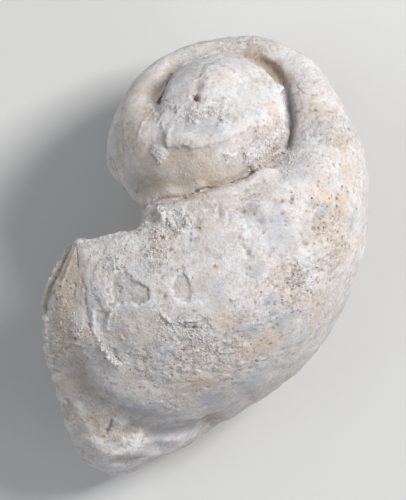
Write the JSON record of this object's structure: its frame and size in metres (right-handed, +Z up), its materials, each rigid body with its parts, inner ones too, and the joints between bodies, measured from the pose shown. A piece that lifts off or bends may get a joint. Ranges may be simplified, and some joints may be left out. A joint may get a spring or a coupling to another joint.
{
  "type": "fossil sea snail",
  "caption": "Stone cast of a low-spired sea snail: a fat last turn, a small worn spire beside an open channel, a broken mouth end and a pitted, crusted surface.",
  "frame": {"origin": "on the plane of the small flat spot that the stone rests on, under the middle of its bounding box", "axes": "+Z up, +Y from the broken mouth end to the spire, +X towards the round back of the last turn, with the spire turned up and towards +Y"},
  "size_m": [0.066, 0.0896, 0.056],
  "materials": {
    "fossil_snail": "dull pale limestone, pitted, with thin crusts and blue-grey and tan stains"
  },
  "bodies": {
    "root": {"fossil_snail": "fossil_snail"}
  },
  "joints": []
}
